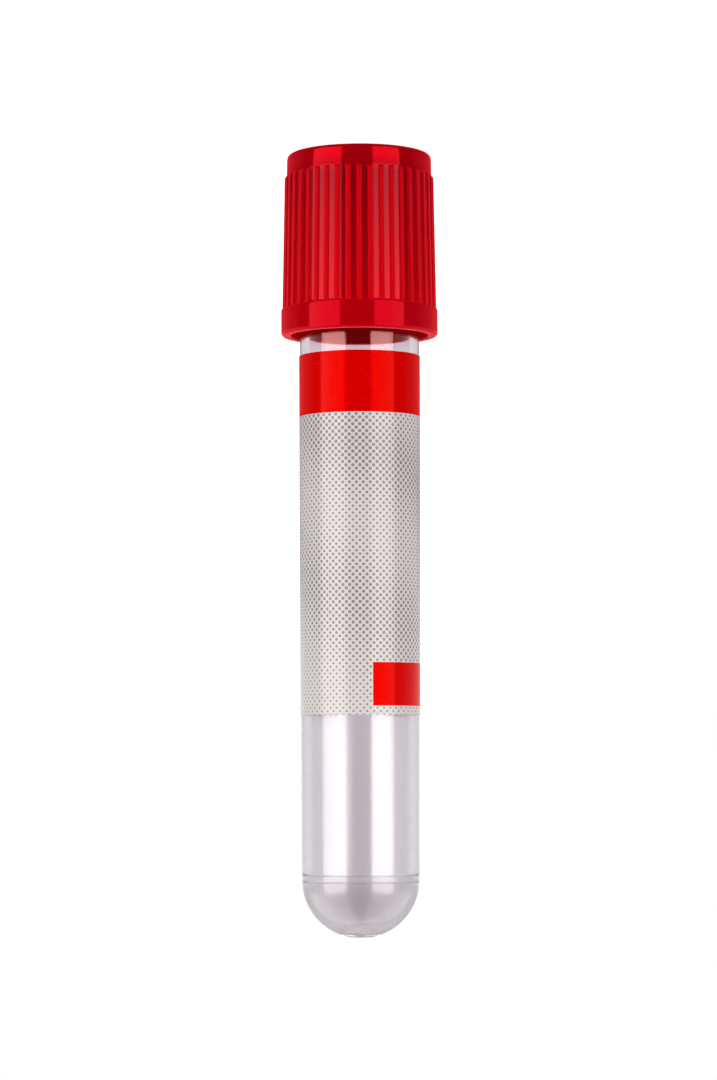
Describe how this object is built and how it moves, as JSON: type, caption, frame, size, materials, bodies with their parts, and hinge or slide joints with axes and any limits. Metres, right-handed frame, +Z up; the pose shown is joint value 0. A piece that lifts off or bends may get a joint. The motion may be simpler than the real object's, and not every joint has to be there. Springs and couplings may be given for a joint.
{
  "type": "blood collection tube",
  "caption": "Round-ended clear plastic tube, 13 by 75 mm, with a wrapped printed label and a ribbed red cap whose rubber stopper pulls out of the mouth.",
  "frame": {"origin": "on the surface that the closed tube stands on, under the tube's axis", "axes": "+Z up the tube's axis, from the cap that it stands on to its round end; -Y the side of the label that the picture shows; +X across. The closed tube rolls on its side and can't stand on its round end, so it stands upside down on its cap."},
  "size_m": [0.017, 0.017, 0.0849],
  "materials": {
    "tube_clear": "gloss",
    "label_film": "satin",
    "label_ink": "satin",
    "cap_red": "gloss",
    "stopper_rubber": "matte"
  },
  "bodies": {
    "tube": {"tube": "tube_clear", "label": "label_film", "label_band": "label_ink", "label_block": "label_ink"},
    "closure": {"cap": "cap_red", "cap_ring": "cap_red", "stopper": "stopper_rubber"}
  },
  "joints": [
    {"name": "pull_open", "type": "slide", "parent": "closure", "child": "tube", "axis": [0, 0, 1], "range_m": [0, 0.02]}
  ]
}
